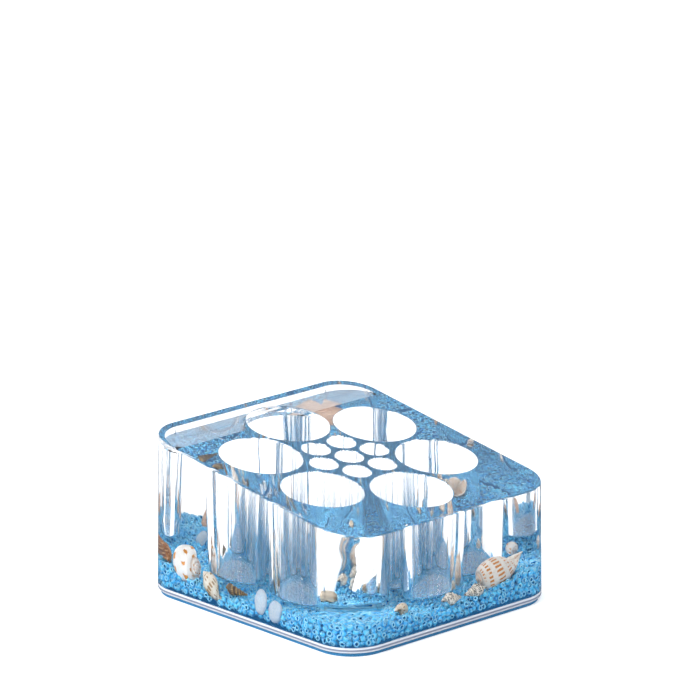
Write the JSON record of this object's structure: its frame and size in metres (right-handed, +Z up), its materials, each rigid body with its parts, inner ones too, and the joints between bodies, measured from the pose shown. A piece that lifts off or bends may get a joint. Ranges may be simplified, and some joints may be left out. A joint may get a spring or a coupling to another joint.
{
  "type": "makeup brush holder",
  "caption": "Clear countertop holder with a sloping top, wide wells round a cluster of brush holes, and shells on blue beads sealed in its base.",
  "frame": {"origin": "middle of the footprint, on the surface that the holder stands on", "axes": "+X along the low front to the right, +Y to the high back, +Z up"},
  "size_m": [0.104, 0.1112, 0.0608],
  "materials": {
    "clear_plastic": "clear, polished",
    "blue_foam": "soft blue foam sheet",
    "blue_beads": "pale blue seed beads",
    "cream_shell": "cream with rust dashes",
    "tan_shell": "tan, speckled",
    "brown_shell": "brown, banded",
    "grey_shell": "white with dark specks",
    "sea_glass": "frosted"
  },
  "bodies": {
    "root": {"clear_body": "clear_plastic", "base_plate": "clear_plastic", "fill_plug": "clear_plastic", "soft_mat": "blue_foam", "bead_bed": "blue_beads", "spotted_whelk": "cream_shell", "moon_snail": "cream_shell", "small_whelk": "tan_shell", "banded_turret": "brown_shell", "front_top_shell": "grey_shell", "middle_top_shell": "grey_shell", "notch_snail": "tan_shell", "side_snail": "cream_shell", "back_turret": "brown_shell", "brown_cockle": "brown_shell", "back_scallop": "tan_shell", "left_sea_glass": "sea_glass", "right_sea_glass": "sea_glass", "back_sea_glass": "sea_glass"}
  },
  "joints": []
}
